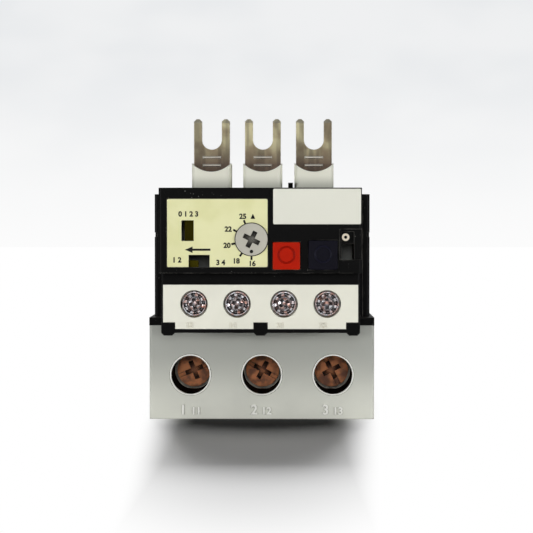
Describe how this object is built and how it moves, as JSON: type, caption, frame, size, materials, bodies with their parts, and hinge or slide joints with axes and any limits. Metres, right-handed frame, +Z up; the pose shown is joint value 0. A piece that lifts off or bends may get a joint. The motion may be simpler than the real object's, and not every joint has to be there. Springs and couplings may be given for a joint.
{
  "type": "thermal overload relay",
  "caption": "Thermal overload relay: fork terminals on top, screw terminals at the foot and front, a setting dial, a test slide, and stop and reset buttons.",
  "frame": {"origin": "middle of the foot, at the bottom centre of the bounding box", "axes": "+X to the right seen from the front, +Y to the rear, +Z up towards the fork terminals"},
  "size_m": [0.06, 0.08, 0.0814],
  "materials": {
    "light_grey_plastic": "moulded, fine satin",
    "black_plastic": "moulded, satin",
    "white_plastic": "moulded, satin",
    "cream_label": "printed sheet",
    "dial_grey": "moulded",
    "red_plastic": "moulded",
    "navy_plastic": "moulded",
    "olive_plastic": "moulded",
    "cream_plastic": "moulded",
    "grey_insulation": "moulded",
    "tinned_copper": "tinned, bright",
    "copper": "bare",
    "brass_bar": "bare",
    "bronzed_steel": "copper-plated",
    "zinc_steel": "zinc-plated, bright",
    "bimetal_steel": "rolled",
    "heater_alloy": "oxidised",
    "spring_steel": "drawn",
    "contact_silver": "silver-tipped"
  },
  "bodies": {
    "case": {"terminal_shroud": "light_grey_plastic", "load_carrier": "black_plastic", "main_housing": "black_plastic", "pole_collars": "light_grey_plastic", "mechanism_base": "black_plastic", "mechanism_frame": "grey_insulation", "lever_pin": "spring_steel", "terminal_block": "black_plastic", "terminal_plate": "white_plastic", "front_cover": "black_plastic", "label_plate": "cream_label", "name_plate": "white_plastic", "stop_spring": "spring_steel", "reset_spring": "spring_steel", "fork_terminal_1": "tinned_copper", "load_bar_1": "copper", "bimetal_1": "bimetal_steel", "heater_1": "heater_alloy", "fork_terminal_2": "tinned_copper", "load_bar_2": "copper", "bimetal_2": "bimetal_steel", "heater_2": "heater_alloy", "fork_terminal_3": "tinned_copper", "load_bar_3": "copper", "bimetal_3": "bimetal_steel", "heater_3": "heater_alloy", "aux_bar_1": "brass_bar", "aux_bar_2": "brass_bar", "aux_bar_3": "brass_bar", "aux_bar_4": "brass_bar"},
    "dial": {"dial": "dial_grey"},
    "stop_button": {"stop_button": "red_plastic"},
    "reset_button": {"reset_button": "navy_plastic"},
    "test_slider": {"test_slider": "olive_plastic"},
    "selector": {"selector": "black_plastic", "selector_pin": "cream_plastic"},
    "trip_slider": {"trip_slider": "grey_insulation"},
    "trip_lever": {"trip_lever": "grey_insulation"},
    "contact_carrier": {"contact_carrier": "grey_insulation", "opening_bridge": "contact_silver", "closing_bridge": "contact_silver"},
    "load_clamp_1": {"load_screw_1": "bronzed_steel", "load_clamp_1": "zinc_steel"},
    "load_clamp_2": {"load_screw_2": "bronzed_steel", "load_clamp_2": "zinc_steel"},
    "load_clamp_3": {"load_screw_3": "bronzed_steel", "load_clamp_3": "zinc_steel"},
    "aux_clamp_1": {"aux_screw_1": "zinc_steel", "aux_clamp_1": "zinc_steel"},
    "aux_clamp_2": {"aux_screw_2": "zinc_steel", "aux_clamp_2": "zinc_steel"},
    "aux_clamp_3": {"aux_screw_3": "zinc_steel", "aux_clamp_3": "zinc_steel"},
    "aux_clamp_4": {"aux_screw_4": "zinc_steel", "aux_clamp_4": "zinc_steel"}
  },
  "joints": [
    {"name": "dial_turn", "type": "hinge", "parent": "case", "child": "dial", "pos_m": [-0.00217, -0.0395, 0.048], "axis": [0, 1, 0], "range_deg": [0, 160]},
    {"name": "stop_press", "type": "slide", "parent": "case", "child": "stop_button", "axis": [0, 1, 0], "range_m": [0, 0.002], "stiffness_N_per_m": 300, "springref_m": -0.001, "deforming": ["stop_spring"]},
    {"name": "reset_press", "type": "slide", "parent": "case", "child": "reset_button", "axis": [0, 1, 0], "range_m": [0, 0.002], "stiffness_N_per_m": 300, "springref_m": -0.001, "deforming": ["reset_spring"]},
    {"name": "test_slide", "type": "slide", "parent": "case", "child": "test_slider", "axis": [1, 0, 0], "range_m": [0, 0.0022]},
    {"name": "selector_slide", "type": "slide", "parent": "case", "child": "selector", "axis": [0, 0, -1], "range_m": [0, 0.0044]},
    {"name": "slider_travel", "type": "slide", "parent": "case", "child": "trip_slider", "axis": [1, 0, 0], "range_m": [0, 0.0018], "stiffness_N_per_m": 200},
    {"name": "lever_swing", "type": "hinge", "parent": "case", "child": "trip_lever", "pos_m": [0.0214, -0.014, 0.0532], "axis": [0, 0, 1], "range_deg": [-3.6, 0]},
    {"name": "contact_shift", "type": "slide", "parent": "case", "child": "contact_carrier", "axis": [0, 1, 0], "range_m": [0, 0.0012]},
    {"name": "load_screw_1_tighten", "type": "slide", "parent": "case", "child": "load_clamp_1", "axis": [0, 1, 0], "range_m": [0, 0.004]},
    {"name": "load_screw_2_tighten", "type": "slide", "parent": "case", "child": "load_clamp_2", "axis": [0, 1, 0], "range_m": [0, 0.004]},
    {"name": "load_screw_3_tighten", "type": "slide", "parent": "case", "child": "load_clamp_3", "axis": [0, 1, 0], "range_m": [0, 0.004]},
    {"name": "aux_screw_1_tighten", "type": "slide", "parent": "case", "child": "aux_clamp_1", "axis": [0, 1, 0], "range_m": [0, 0.0036]},
    {"name": "aux_screw_2_tighten", "type": "slide", "parent": "case", "child": "aux_clamp_2", "axis": [0, 1, 0], "range_m": [0, 0.0036]},
    {"name": "aux_screw_3_tighten", "type": "slide", "parent": "case", "child": "aux_clamp_3", "axis": [0, 1, 0], "range_m": [0, 0.0036]},
    {"name": "aux_screw_4_tighten", "type": "slide", "parent": "case", "child": "aux_clamp_4", "axis": [0, 1, 0], "range_m": [0, 0.0036]}
  ],
  "couplings": [
    {"joint": "lever_swing", "follows": "slider_travel", "rad_per_m": -34.247},
    {"joint": "contact_shift", "follows": "slider_travel", "ratio": 0.66438}
  ]
}
